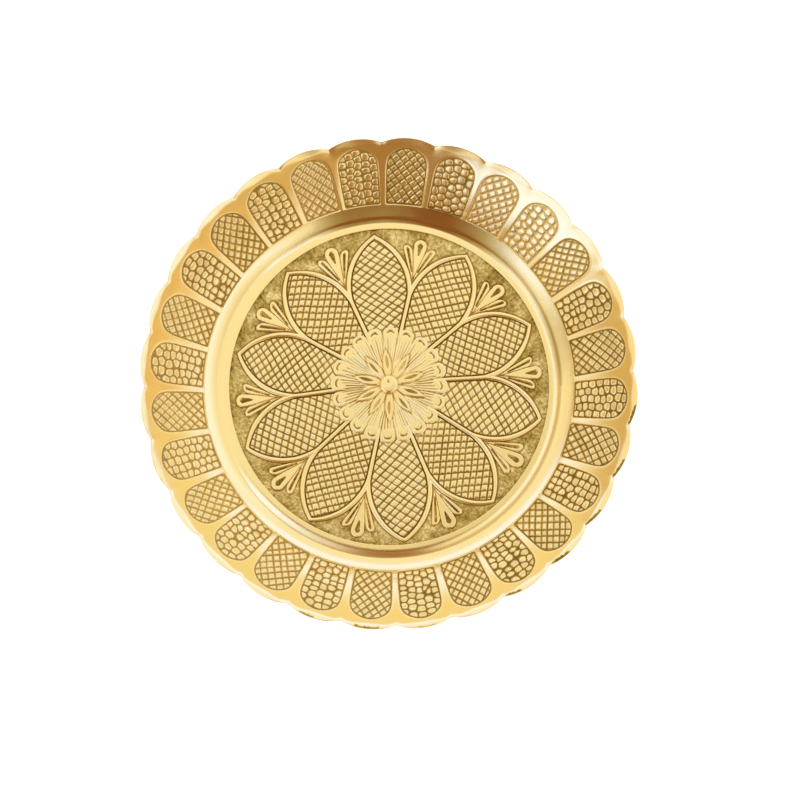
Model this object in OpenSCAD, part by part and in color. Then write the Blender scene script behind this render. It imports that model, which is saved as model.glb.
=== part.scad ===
// Puja thali: a cast brass offering plate. A scalloped rim of arched panels rises from a turned gutter,
// and the floor carries a lotus medallion. A foot ring is brazed on below, and a stud closes the middle.

/* [Rim] */
// Diameter over the crests of the scalloped edge
plate_d = 130; // [122:1:145]
// Thickness of the brass, measured square to its surface
wall_t = 1.45; // [1.1:0.05:1.6]
// Slope of the wall where it leaves the gutter, in degrees up from the table
foot_slope = 44; // [38:1:48]
// Slope of the wall where it meets the lip, in degrees
head_slope = 32; // [26:1:36]
// Width in plan of the flatter lip at the crests
lip_w = 1.7; // [1.3:0.1:2.2]
// Slope of the lip, in degrees
lip_slope = 20; // [10:1:24]
// Number of scallops, and of panels
panel_count = 28; // [24:2:32]
// Depth of the notch between two scallops
scallop_depth = 1.2; // [0.8:0.1:1.6]
// Plain border between the crest of a scallop and the crown of its panel
panel_border = 2.6; // [1.8:0.1:4]
// Depth of a panel below the wall
panel_depth = 0.35; // [0.2:0.05:0.5]
// Rise of the arched head of a panel
arch_h = 3.2; // [2.2:0.1:4]
// Width of the rib between two panels at the gutter
rib_foot_w = 1.7; // [1.2:0.1:2.2]
// Width of the rib between two panels at their crowns
rib_head_w = 2.7; // [2.3:0.1:3.2]

/* [Gutter] */
// Width in plan from the crests of the edge to the gutter's lowest line
rim_w = 18.4; // [15:0.1:22]
// Depth of the gutter below the turned band
gutter_depth = 0.8; // [0.6:0.05:0.9]
// Radius of the round shoulder between the turned band and the gutter
shoulder_r = 2.9; // [2.6:0.1:3.4]
// Radius of the hollow on the floor side
gutter_in_r = 1.5; // [1.2:0.1:2]
// Radius of the hollow that leads up into the wall
gutter_out_r = 3.6; // [3:0.1:5]
// Smooth strip between the gutter and the foot of the panels
panel_foot_gap = 0.3; // [0.1:0.1:1]

/* [Medallion] */
// Width of the flat turned band between the shoulder and the ground
band_w = 1.25; // [0.8:0.05:2]
// Depth of the ground below the turned band
ground_depth = 0.45; // [0.3:0.05:0.6]
// Number of lotus petals
petal_count = 10; // [8:1:10]
// Bare ground between the petal tips and the turned band
petal_gap = 1.5; // [1:0.1:3]
// Width of the raised line round each petal
line_w = 1; // [0.8:0.05:1.3]
// Height of the raised lines above the ground
line_h = 0.5; // [0.35:0.05:0.6]
// Height of the petal's field above the ground
field_h = 0.2; // [0.1:0.05:0.3]
// Radius of the rosette over the tops of its lobes
rosette_r = 15.8; // [14.5:0.1:16.5]
// Radius of one lobe of the rosette
lobe_r = 2.3; // [2:0.1:2.6]
// Height of the rosette above the ground
rosette_h = 0.55; // [0.4:0.05:0.7]
// Radius of the tips of the small flower
flower_r = 10.2; // [9:0.1:11]
// Greatest width of a leaf of the small flower
leaf_w = 2.5; // [2:0.1:2.8]
// Height of the small flower above the ground
flower_h = 0.8; // [0.65:0.05:1]

/* [Centre stud] */
// Diameter of the stud's domed head
stud_head_d = 5.2; // [4.6:0.1:6]
// Height of the head at its middle
stud_head_h = 1; // [0.7:0.1:1.3]
// Diameter of the stud's shank
stud_shank_d = 2.6; // [2.2:0.1:3]
// Diameter of the tail, spread below the floor
stud_tail_d = 4.4; // [4:0.1:5]
// Height of the spread tail
stud_tail_h = 0.8; // [0.6:0.1:1]
// Radial clearance of the shank in its hole
stud_clear = 0.04; // [0.02:0.01:0.08]

/* [Foot] */
// Distance in plan from the shoulder in to the foot ring's outside
foot_inset = 2.6; // [1.6:0.1:5]
// Width of the foot ring where it meets the floor
foot_w = 2.4; // [2:0.1:3]
// Height of the foot ring
foot_h = 2.8; // [2.4:0.1:4]
// Leg of the brazed fillet on each side of the foot ring
braze_leg = 0.8; // [0.5:0.1:1.2]

/* [Hidden] */
$fn = 96;

// Turn of the first panel and of the first petal about the plate's axis, in degrees
panel_turn = 8.2;
petal_turn = 23.7;
// Overrun of every cut, and the depth by which raised work is rooted in the floor
over = 1;
root = 0.3;

// Heights on the plate's axis
floor_under_z = foot_h;
band_z = foot_h + wall_t;
ground_z = band_z - ground_depth;
hub_z = ground_z + flower_h;
gutter_z = band_z - gutter_depth;

// The shoulder and the hollow beside it turn down by the same angle, which sets where the band ends
gutter_r = plate_d / 2 - rim_w;
shoulder_turn = acos(1 - gutter_depth / (shoulder_r + gutter_in_r));
band_edge_r = gutter_r - (shoulder_r + gutter_in_r) * sin(shoulder_turn);
ground_r = band_edge_r - band_w;
arc_steps = 8;

// The wall starts where the gutter's outer hollow has turned up to the wall's slope, and bows over to the lip
wall_foot_r = gutter_r + gutter_out_r * sin(foot_slope);
wall_foot_z = gutter_z + gutter_out_r * (1 - cos(foot_slope));
lip_r = plate_d / 2 - lip_w;
bow_r = (lip_r - wall_foot_r) / (sin(foot_slope) - sin(head_slope));
bow_centre = [wall_foot_r, wall_foot_z] - polar(bow_r, foot_slope + 90);
bow_steps = 3;
lip_z = bow_centre[1] + bow_r * cos(head_slope);
rim_top_z = lip_z + lip_w * tan(lip_slope);

// One scallop is an arc through its crest and the two notches beside it
panel_step = 360 / panel_count;
notch_r = plate_d / 2 - scallop_depth;
scallop_centre_r = (pow(plate_d / 2, 2) - pow(notch_r, 2)) / (2 * (plate_d / 2 - notch_r * cos(panel_step / 2)));
scallop_r = plate_d / 2 - scallop_centre_r;

// The panels
panel_foot_r = wall_foot_r + panel_foot_gap;
panel_crown_r = plate_d / 2 - panel_border;
panel_foot_half = panel_foot_r * tan(panel_step / 2) - rib_foot_w / 2;
panel_crown_half = panel_crown_r * tan(panel_step / 2) - rib_head_w / 2;
arch_half = between(panel_crown_half, panel_foot_half, arch_h / (panel_crown_r - panel_foot_r));
arch_r = (pow(arch_half, 2) + pow(arch_h, 2)) / (2 * arch_h);

// The petals
petal_step = 360 / petal_count;
petal_tip_r = ground_r - petal_gap;
petal_wide_share = 0.66;
petal_fill_share = 0.925;
petal_root_share = 0.82;
petal_wide_r = petal_tip_r * petal_wide_share;
petal_half_w = petal_wide_r * tan(petal_step / 2) * petal_fill_share;
petal_rise = petal_tip_r - petal_wide_r;
petal_arc_r = (pow(petal_half_w, 2) + pow(petal_rise, 2)) / (2 * petal_half_w);

// The palmettes between the petal tips, as shares of the petal tip radius along and across their axis
palmette_base_share = 0.72;
middle_head_share = [0.95, 0];
side_head_share = [0.915, 0.08];
eye_start_share = 0.6;
slot_start_share = 0.35;
middle_head_r = 1.75;
middle_eye_r = 0.5;
side_head_r = 0.95;
side_slot_r = 0.25;
palmette_stem_w = 1;
drop_inset_share = 0.97;

// The rosette and the small flower
lobe_count = 2 * petal_count;
lobe_centre_r = rosette_r - lobe_r;
crescent_r = 1.1;
crescent_shift = 0.45;
crescent_depth = 0.25;
leaf_root_share = 0.6;
leaf_root_r = leaf_root_share * stud_head_d / 2;
leaf_slit_share = 0.55;
leaf_slit_w = 0.9;
leaf_slit_depth = 0.3;
hub_margin = 0.4;

// The stud: the radii of its two domes and the centre mark in its head
stud_head_r = (pow(stud_head_d / 2, 2) + pow(stud_head_h, 2)) / (2 * stud_head_h);
stud_tail_r = (pow(stud_tail_d / 2, 2) + pow(stud_tail_h, 2)) / (2 * stud_tail_h);
stud_top_z = hub_z + stud_head_h;
dimple_r = 0.45;
dimple_depth = 0.35;

// The foot ring
foot_r = band_edge_r - foot_inset;
foot_in_r = foot_r - foot_w;
foot_taper = 0.3;

function polar(radius, angle) = [radius * cos(angle), radius * sin(angle)];

// The point a share of the way from one point to another
function between(from, to, share) = from + (to - from) * share;

// Points along an arc about a centre
function arc_points(centre, radius, from, to, steps = arc_steps) =
    [for (i = [0 : steps]) centre + polar(radius, between(from, to, i / steps))];

// Points up the wall at a depth below its upper face
function bow_points(depth) = arc_points(bow_centre, bow_r - depth, foot_slope + 90, head_slope + 90, bow_steps);

function reversed(points) = [for (i = [len(points) - 1 : -1 : 0]) points[i]];

// One face of the shell at a depth below its upper face, from the turned band out past the edge
function shell_face(depth) = concat(
    arc_points([band_edge_r, band_z - shoulder_r], shoulder_r - depth, 90, 90 - shoulder_turn),
    arc_points([gutter_r, gutter_z + gutter_in_r], gutter_in_r + depth, 270 - shoulder_turn, 270),
    arc_points([gutter_r, gutter_z + gutter_out_r], gutter_out_r + depth, 270, 270 + foot_slope),
    bow_points(depth),
    [[plate_d / 2 + over, rim_top_z + over * tan(lip_slope) - depth / cos(lip_slope)]]
);

// The section of the shoulder, the gutter and the wall
module shell_section() {
    polygon(concat(shell_face(0), reversed(shell_face(wall_t))));
}

// The section of the cut that sinks the panels, parallel to the wall
module panel_section() {
    polygon(concat(bow_points(panel_depth), reversed(bow_points(-over))));
}

// The plan of the scalloped edge
module scallop_plan() {
    circle(scallop_centre_r);
    for (i = [0 : panel_count - 1])
        rotate(panel_turn + i * panel_step)
            translate([scallop_centre_r, 0])
                circle(scallop_r);
}

// The plan of one arched panel, which lies along +X
module panel_plan() {
    difference() {
        intersection() {
            polygon([
                [panel_foot_r - over, panel_foot_half],
                [panel_foot_r, panel_foot_half],
                [panel_crown_r, panel_crown_half],
                [panel_crown_r, -panel_crown_half],
                [panel_foot_r, -panel_foot_half],
                [panel_foot_r - over, -panel_foot_half]
            ]);
            union() {
                translate([panel_crown_r - arch_r, 0])
                    circle(arch_r);
                translate([0, -2 * arch_r])
                    square([panel_crown_r - arch_r, 4 * arch_r]);
            }
        }
        circle(panel_foot_r);
    }
}

module scalloped_rim() {
    color("goldenrod")
        difference() {
            intersection() {
                rotate_extrude()
                    shell_section();
                linear_extrude(rim_top_z + over)
                    scallop_plan();
            }
            intersection() {
                rotate_extrude()
                    panel_section();
                linear_extrude(rim_top_z + over)
                    for (i = [0 : panel_count - 1])
                        rotate(panel_turn + i * panel_step)
                            panel_plan();
            }
        }
}

// A petal along +X, grown or shrunk by a margin on every side
module petal_plan(grow) {
    half = petal_step / 2;
    shift = grow / sin(half);
    reach = petal_tip_r + petal_rise;
    intersection() {
        polygon([
            [-shift, 0],
            [reach, (reach + shift) * tan(half)],
            [reach, -(reach + shift) * tan(half)]
        ]);
        union() {
            intersection_for(side = [-1, 1])
                translate([petal_wide_r, side * (petal_arc_r - petal_half_w)])
                    circle(petal_arc_r + grow);
            translate([0, -petal_wide_r])
                square([petal_root_share * petal_wide_r, 2 * petal_wide_r]);
        }
    }
}

// A drop with its point at the origin and its round head along +X
module drop_plan(length, head_r) {
    touch = 180 - acos(head_r / length);
    shoulder = drop_inset_share * head_r;
    translate([length, 0])
        circle(head_r);
    polygon([[0, 0], [length, 0] + polar(shoulder, touch), [length, 0] + polar(shoulder, -touch)]);
}

// A drop from one point to the centre of its head
module drop_between(point, head, head_r) {
    way = head - point;
    translate(point)
        rotate(atan2(way[1], way[0]))
            drop_plan(norm(way), head_r);
}

// A palmette along +X: a middle drop with an eye, a slotted drop on each side and a stem
module palmette_plan() {
    base = [palmette_base_share * petal_tip_r, 0];
    middle = middle_head_share * petal_tip_r;
    sides = [for (side = [-1, 1]) [side_head_share[0], side * side_head_share[1]] * petal_tip_r];
    eye_start = between(base, middle, eye_start_share);
    difference() {
        union() {
            drop_between(base, middle, middle_head_r);
            for (head = sides)
                drop_between(base, head, side_head_r);
            translate([base[0] - palmette_stem_w, -palmette_stem_w / 2])
                square([eye_start[0] - base[0], palmette_stem_w]);
        }
        drop_between(eye_start, middle, middle_eye_r);
        for (head = sides)
            drop_between(between(base, head, slot_start_share), head, side_slot_r);
    }
}

// A leaf of the small flower along +X, pointed at both ends
module leaf_plan(from, to, width) {
    half_l = (to - from) / 2;
    arc_r = (pow(half_l, 2) + pow(width / 2, 2)) / width;
    intersection_for(side = [-1, 1])
        translate([from + half_l, side * (arc_r - width / 2)])
            circle(arc_r);
}

module round_petals(turn = 0) {
    for (i = [0 : petal_count - 1])
        rotate(petal_turn + turn + i * petal_step)
            children();
}

module round_lobes() {
    for (i = [0 : lobe_count - 1])
        rotate(petal_turn + (i + 0.5) * 360 / lobe_count)
            children();
}

// Raised work on the ground, rooted in the floor
module raised(height) {
    translate([0, 0, ground_z - root])
        linear_extrude(height + root)
            children();
}

// A shallow cut from above into work that stands at a height above the ground
module sunk(height, depth) {
    translate([0, 0, ground_z + height - depth])
        linear_extrude(depth + over)
            children();
}

module rosette_plan() {
    circle(lobe_centre_r);
    round_lobes()
        translate([lobe_centre_r, 0])
            circle(lobe_r);
}

// The disc of the floor with its turned band and the sunk ground
module floor_disc() {
    rotate_extrude()
        polygon([
            [0, floor_under_z],
            [band_edge_r, floor_under_z],
            [band_edge_r, band_z],
            [ground_r, band_z],
            [ground_r, ground_z],
            [0, ground_z]
        ]);
}

module medallion() {
    raised(field_h)
        round_petals()
            petal_plan(line_w / 4);
    raised(line_h)
        difference() {
            round_petals()
                petal_plan(line_w / 2);
            round_petals()
                petal_plan(-line_w / 2);
        }
    raised(line_h)
        round_petals(petal_step / 2)
            palmette_plan();
    raised(rosette_h)
        rosette_plan();
    raised(flower_h) {
        round_petals()
            leaf_plan(leaf_root_r, flower_r, leaf_w);
        circle(stud_head_d / 2 + hub_margin);
    }
}

module well_floor() {
    color("gold")
        difference() {
            union() {
                floor_disc();
                medallion();
            }
            sunk(rosette_h, crescent_depth)
                round_lobes()
                    translate([lobe_centre_r + crescent_shift, 0])
                        difference() {
                            circle(crescent_r);
                            translate([-2 * crescent_shift, 0])
                                circle(crescent_r);
                        }
            sunk(flower_h, leaf_slit_depth)
                round_petals()
                    leaf_plan(
                        flower_r - leaf_slit_share * (flower_r - leaf_root_r) - leaf_slit_w,
                        flower_r - leaf_slit_w,
                        leaf_slit_w);
            cylinder(h = hub_z + over, r = stud_shank_d / 2 + stud_clear);
        }
}

// The stud: a domed head with a centre mark, a shank and a tail spread under the floor
module centre_stud() {
    color("khaki")
        rotate_extrude()
            difference() {
                union() {
                    intersection() {
                        translate([0, stud_top_z - stud_head_r])
                            circle(stud_head_r);
                        translate([0, hub_z])
                            square([stud_head_d, stud_head_h + over]);
                    }
                    translate([0, floor_under_z - root])
                        square([stud_shank_d / 2, hub_z - floor_under_z + 2 * root]);
                    intersection() {
                        translate([0, floor_under_z - stud_tail_h + stud_tail_r])
                            circle(stud_tail_r);
                        translate([0, floor_under_z - stud_tail_h - over])
                            square([stud_tail_d, stud_tail_h + over]);
                    }
                }
                translate([0, stud_top_z - dimple_depth])
                    polygon([[0, 0], [dimple_r, dimple_depth], [dimple_r, 2 * dimple_depth], [0, 2 * dimple_depth]]);
            }
}

module foot_ring() {
    color("darkgoldenrod")
        rotate_extrude()
            polygon([
                [foot_in_r, foot_h],
                [foot_in_r + foot_taper, foot_taper],
                [foot_in_r + 2 * foot_taper, 0],
                [foot_r - 2 * foot_taper, 0],
                [foot_r - foot_taper, foot_taper],
                [foot_r, foot_h - braze_leg],
                [foot_r, foot_h]
            ]);
}

// The section of a brazed fillet in the corner at the origin, along +X and down
module fillet_section() {
    polygon([[0, 0], [braze_leg, 0], [0, -braze_leg]]);
}

module braze_fillets() {
    color("peru")
        rotate_extrude() {
            translate([foot_r, foot_h])
                fillet_section();
            translate([foot_in_r, foot_h])
                mirror([1, 0])
                    fillet_section();
        }
}

well_floor();
scalloped_rim();
foot_ring();
braze_fillets();
centre_stud();
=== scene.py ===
"""Puja thali: the chased surfaces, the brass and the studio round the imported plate.

The plate is worked out in millimetres about its axis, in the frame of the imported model, and put into the
meshes in metres. Every relief is a function of two parameters on a grid.
"""

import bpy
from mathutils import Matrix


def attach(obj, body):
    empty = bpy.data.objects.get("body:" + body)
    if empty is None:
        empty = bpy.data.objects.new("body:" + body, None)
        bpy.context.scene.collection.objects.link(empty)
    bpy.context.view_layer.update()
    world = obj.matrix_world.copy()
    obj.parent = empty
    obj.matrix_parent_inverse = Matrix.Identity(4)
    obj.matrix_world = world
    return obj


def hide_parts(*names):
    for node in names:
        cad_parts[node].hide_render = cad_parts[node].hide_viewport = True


bl_info = {
    "name": "Puja thali",
    "version": (1, 0, 0),
    "blender": (4, 5, 0),
    "location": "View3D > Sidebar > Thali",
    "description": "Dresses the packed brass offering plate with its chased relief, its finish and a studio",
    "category": "Add Mesh",
}

import math

import bpy
import numpy as np
from bpy.props import FloatProperty, FloatVectorProperty, IntProperty, PointerProperty

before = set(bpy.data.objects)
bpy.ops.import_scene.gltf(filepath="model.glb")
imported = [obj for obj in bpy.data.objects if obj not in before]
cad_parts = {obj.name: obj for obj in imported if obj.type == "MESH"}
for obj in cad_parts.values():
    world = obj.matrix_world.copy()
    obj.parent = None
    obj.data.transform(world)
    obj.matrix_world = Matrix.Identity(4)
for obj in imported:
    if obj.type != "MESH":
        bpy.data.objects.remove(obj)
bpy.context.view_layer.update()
METRES = 0.001

# The plate's sizes in millimetres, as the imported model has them
WALL = 1.45
FLOOR_UNDER_Z = 2.8
GROUND_Z = 3.8
BAND_Z = 4.25
HUB_Z = 4.6
GROUND_R = 42.82
BAND_EDGE_R = 44.07
COVE_RISE = 0.49
BOW_R = 86.2
BOW_CENTRE = (108.98, -57.55)
LIP_SLOPE = 20.0
PANELS = 28
PANEL_STEP = 360.0 / PANELS
PANEL_TURN = 8.2
PANEL_FOOT_R = 49.4
PANEL_CROWN_R = 62.4
PANEL_FOOT_HALF = 4.8
PANEL_CROWN_HALF = 5.86
ARCH_R = 6.3
SCALLOP_R = 16.73
SCALLOP_CENTRE_R = 48.27
PETALS = 10
PETAL_STEP = 360.0 / PETALS
PETAL_TURN = 23.7
PALMETTE_FOOT_R = 29.6
PETAL_WIDE_R = 27.27
PETAL_HALF_W = 8.2
PETAL_ARC_R = 16.14
PETAL_FORK_R = 24.4
LINE_H = 0.5
FIELD_H = 0.2
ROSETTE_H = 0.55
FLOWER_H = 0.8
LOBES = 20
LOBE_R = 2.3
LOBE_CENTRE_R = 13.5
STUD_R = 2.6
STUD_H = 1.0
TAIL_R = 2.2
TAIL_H = 0.8
FOOT_R = 41.47
FOOT_IN_R = 39.07
BRAZE_LEG = 0.8

# The relief in millimetres: the lines round the petals, a palmette's middle drop with its eye, the bent
# drops beside it with their slits, the stem under it, and the rosette's crescents, rays and leaves, where a
# slit has its first and last radius and its width
PETAL_LINE_HALF = 0.47
PETAL_IN_R = 12.0
DROP_L = 9.8
DROP_R = 1.85
EYE_START = 7.3
EYE_L = 2.5
EYE_R = 0.60
SIDE_DROP_L = 8.3
SIDE_DROP_R = 1.22
SIDE_DROP_OUT = 3.05
SIDE_DROP_REACH = 8.1
SLIT_START = 2.6
SLIT_L = 5.8
SLIT_R = 0.31
STEM_HALF = 0.36
STEM_FROM_R = 27.2
STEM_TO_R = 33.0
CRESCENT_R = 1.28
CRESCENT_CENTRE_R = 13.2
RAYS = 92
LEAF_FROM_R = 1.4
LEAF_TO_R = 9.9
LEAF_SLIT = (4.0, 8.5, 0.95)

# The panels sunk in the wall, the lip's width at a notch and how much more it has at a crest, and the lowest
# circle of the hollow round the band
PANEL_DEPTH = 0.33
PANEL_CORNER_R = 1.3
PANEL_FOOT_CORNER_R = 0.5
LIP_W = 0.8
LIP_SWELL = 0.9
HOLLOW_LOW_R = 46.1

# Wear of the plain underside, and of the faces hidden between pieces
UNDER_WEAR = 0.62
CORE_WEAR = 0.55

# Random numbers along one side of a net, grooves before their random numbers repeat, and the shift that keeps
# the plate's own coordinates positive on a net
KNOTS = 256
CUTS = 64
NET_SHIFT = 100.0
# A distance that is outside every outline
OUTSIDE = -5.0
# Faces that meet at a greater turn than this keep a sharp edge, in degrees
SHARP_TURN = 62.0

# The turn of each leaf away from an even spacing, as the chaser's hand left it, and of the rosette's lobes
# against the petals, in degrees
LEAF_TURNS = (-5.4, -3.4, 0.4, -1.7, -0.5, 3.1, -3.2, -4.7, -3.6, -6.2)
LOBE_TURN = 1.8
# The dark file marks on the edge: bearing from and to, in degrees, and how heavy
FILE_MARKS = ((249, 253, 0.8), (262, 268, 0.9), (276, 281, 0.6), (298, 302, 0.9), (311, 316, 1.0),
              (323, 328, 1.0), (336, 341, 1.0), (349, 354, 1.0), (188, 196, 0.4), (199, 205, 0.4))


def ease(low, high, x):
    """0 below low, 1 above high, and the smooth S curve 3t squared less 2t cubed between them."""
    t = np.clip((x - low) / (high - low), 0.0, 1.0)
    return t * t * (3.0 - 2.0 * t)


def bump(x, middle, width):
    """A bell of height 1: e to the minus square of the distance from the middle in widths."""
    return np.exp(-(((x - middle) / width) ** 2))


def soft_min(a, b, size):
    """The smaller of two distances, with the corner between them rounded over a size."""
    h = np.clip(0.5 + 0.5 * (b - a) / size, 0.0, 1.0)
    return b + (a - b) * h - size * h * (1.0 - h)


def grain(x, y, size, seed):
    """A smooth random field from 0 to 1: random numbers on a net of squares of a size, eased between its
    knots."""
    table = np.random.default_rng(seed).random((KNOTS, KNOTS))
    u, v = x / size, y / size
    i, j = np.floor(u).astype(int), np.floor(v).astype(int)
    s, t = ease(0, 1, u - i), ease(0, 1, v - j)
    left, right = i % KNOTS, (i + 1) % KNOTS
    near = table[left, j % KNOTS] * (1 - s) + table[right, j % KNOTS] * s
    far = table[left, (j + 1) % KNOTS] * (1 - s) + table[right, (j + 1) % KNOTS] * s
    return near * (1 - t) + far * t


def drop(along, across, length, foot, head):
    """Distance outside a drop: a circle of radius foot at 0, one of radius head at length, and the two
    straight sides that touch both."""
    lean = (foot - head) / length
    rise = np.sqrt(1 - lean * lean)
    across = np.abs(across)
    reach = rise * along - lean * across
    side = rise * across + lean * along - foot
    low = np.hypot(along, across) - foot
    high = np.hypot(along - length, across) - head
    return np.where(reach < 0, low, np.where(reach > rise * length, high, side))


def leaf(along, across, start, end, width):
    """Distance inside a leaf pointed at both ends: each side is an arc from point to point, width / 2 off
    the axis at its middle."""
    half = (end - start) / 2
    arc = (half**2 + (width / 2) ** 2) / width
    return arc - np.hypot(along - start - half, np.abs(across) + arc - width / 2)


def crosscut(x, y, turn, pitch, seed, broad):
    """Two families of grooves cut by hand.

    Each coordinate over its pitch wavers a little, and the distance to its nearest whole number is eased from
    the groove's floor to the flat of a cell. Returns how far a point is up from the grooves, the same with a
    softer rise, and a random number for each cell."""
    rng = np.random.default_rng(seed)
    shake = rng.uniform(-0.08, 0.08, (2, CUTS))
    depth = rng.uniform(0.72, 1.0, (2, CUTS))
    shift = 90.0
    cell = np.zeros_like(x)
    top, dome = np.ones_like(x), np.ones_like(x)
    for n, (bearing, step) in enumerate(zip(turn, pitch)):
        angle = math.radians(bearing)
        u = (x * math.cos(angle) + y * math.sin(angle)) / step + rng.random()
        u = u + 0.24 * (grain(x + shift, y + shift, 5.5, seed + n) - 0.5)
        line = np.round(u).astype(int)
        off = np.abs(u - line - shake[n][line % CUTS]) * step
        wide = broad + 0.08 * grain(x + shift, y + shift, 1.3, seed + 5 + n)
        top = top * (1 - depth[n][line % CUTS] * (1 - ease(wide - 0.05, wide + 0.17, off)))
        dome = dome * ease(-0.05, 0.52, off)
        cell = cell + np.floor(u) * (7, 13)[n]
    return top, dome, rng.random(CUTS)[cell.astype(int) % CUTS]


def cobbles(x, y, columns, rows, size, seed):
    """Beaten pebbles: seeds stand in columns, every other column half a row on and each shaken, and a
    pebble's height eases up with the difference of the distances to the two nearest seeds.

    size is the radius where the rows start, the step between them, half the width there and how it grows. A
    distance joins its two parts by a power over 2, which squares the pebbles off."""
    foot, step, half, grow = size
    power, stretch = 2.2, 0.82
    rng = np.random.default_rng(seed)
    i, j = np.meshgrid(np.arange(-1, rows + 1), np.arange(-1, columns + 1), indexing="ij")
    row = i + 0.5 + 0.5 * (j % 2) + rng.normal(0, 0.18, (1, i.shape[1]))
    sx = foot + row * step + rng.normal(0, 0.26, i.shape)
    spread = half + grow * (sx - foot)
    sy = ((j + 0.5) / columns - 0.5) * 2 * spread + rng.normal(0, 0.22, i.shape)
    along = np.abs(x[..., None] - sx.ravel())
    across = np.abs(stretch * (y[..., None] - sy.ravel()))
    away = (along**power + across**power) ** (1 / power)
    order = np.argpartition(away, 1, axis=-1)[..., :2]
    near = np.take_along_axis(away, order, -1)
    first, second = near.min(-1), near.max(-1)
    which = np.take_along_axis(order, near.argmin(-1)[..., None], -1)[..., 0]
    corner = ease(0.62, 1.15, first)
    crown = 0.66 + 0.34 * (1 - np.clip(first, 0, 1) ** 2)
    top = ease(0.10, 0.50, second - first) * (1 - 0.8 * corner) * crown
    return top, rng.random(KNOTS)[which % KNOTS]


def make_piece(name, points, shut, wear_and_light, poles=(False, False)):
    """Puts a grid into a closed mesh: points[i, j] is point j of the section at step i.

    The steps join up if shut, or end in flat caps. Each section closes on itself, or with poles its ends run
    to single points on the axis. Where the enclosed volume comes out negative, every face is turned round."""
    steps, size = points.shape[:2]
    place = points.reshape(-1, 3) * METRES
    tone = wear_and_light.reshape(-1)
    index = np.arange(steps * size).reshape(steps, size)
    near = index if shut else index[:-1]
    far = np.roll(index, -1, 0) if shut else index[1:]
    if any(poles):
        faces = [np.stack([near[:, :-1], far[:, :-1], far[:, 1:], near[:, 1:]], -1).reshape(-1, 4)]
        first = np.stack([near[:, 0], far[:, 0], np.full(steps, steps * size)], -1)[:, ::-1]
        last = np.stack([near[:, -1], far[:, -1], np.full(steps, steps * size + 1)], -1)
        faces += [first, last]
        ends = points[0, [0, -1]] * [[0, 0, METRES]]
        place, tone = np.vstack([place, ends]), np.append(tone, wear_and_light[0, [0, -1]])
    else:
        faces = [np.stack([near, far, np.roll(far, -1, 1), np.roll(near, -1, 1)], -1).reshape(-1, 4)]
        if not shut:
            faces += [index[0][None, :], index[-1][None, ::-1]]
    corners = np.concatenate([f.ravel() for f in faces])
    counts = np.concatenate([np.full(len(f), f.shape[1]) for f in faces])
    fan = faces[0]
    volume = np.einsum("ij,ij->", place[fan[:, 0]], np.cross(place[fan[:, 1]], place[fan[:, 2]]))
    volume += np.einsum("ij,ij->", place[fan[:, 0]], np.cross(place[fan[:, 2]], place[fan[:, 3]]))
    starts = np.concatenate([[0], np.cumsum(counts)[:-1]])
    if volume < 0:
        owner = np.repeat(np.arange(len(counts)), counts)
        corners = corners[2 * starts[owner] + counts[owner] - 1 - np.arange(len(corners))]
    mesh = bpy.data.meshes.new(name)
    mesh.vertices.add(len(place))
    mesh.vertices.foreach_set("co", place.astype(np.float32).ravel())
    mesh.loops.add(len(corners))
    mesh.loops.foreach_set("vertex_index", corners.astype(np.int32))
    mesh.polygons.add(len(counts))
    mesh.polygons.foreach_set("loop_start", starts.astype(np.int32))
    mesh.polygons.foreach_set("use_smooth", np.ones(len(counts), bool))
    mesh.update(calc_edges=True)
    if mesh.validate():
        raise RuntimeError(f"{name} has faces that don't hold together")
    mesh.set_sharp_from_angle(angle=math.radians(SHARP_TURN))
    mesh.attributes.new("wear_and_light", "FLOAT", "POINT").data.foreach_set("value", tone.astype(np.float32))
    piece = bpy.data.objects.new(name, mesh)
    bpy.context.scene.collection.objects.link(piece)
    return piece


def fit_piece(piece, finish, slot, *nodes):
    """Gives a piece its finish and its place on the plate."""
    piece.data.materials.append(finish)
    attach(piece, "root")
    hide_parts(*nodes)


def plan(radius, bearing):
    """x and y at a radius on bearings in degrees: the radius times their cosines and sines."""
    angle = np.radians(bearing)
    return radius * np.cos(angle), radius * np.sin(angle)


def around(radius, height, bearing):
    """Points at a radius and height on bearings in degrees about the axis."""
    x, y = plan(radius, bearing)
    return np.stack([x, y, height + 0 * x], -1)


def wall_height(r):
    """Height of the wall's face at a radius: a great circle of radius BOW_R about BOW_CENTRE."""
    return BOW_CENTRE[1] + np.sqrt(BOW_R**2 - (BOW_CENTRE[0] - r) ** 2)


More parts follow.
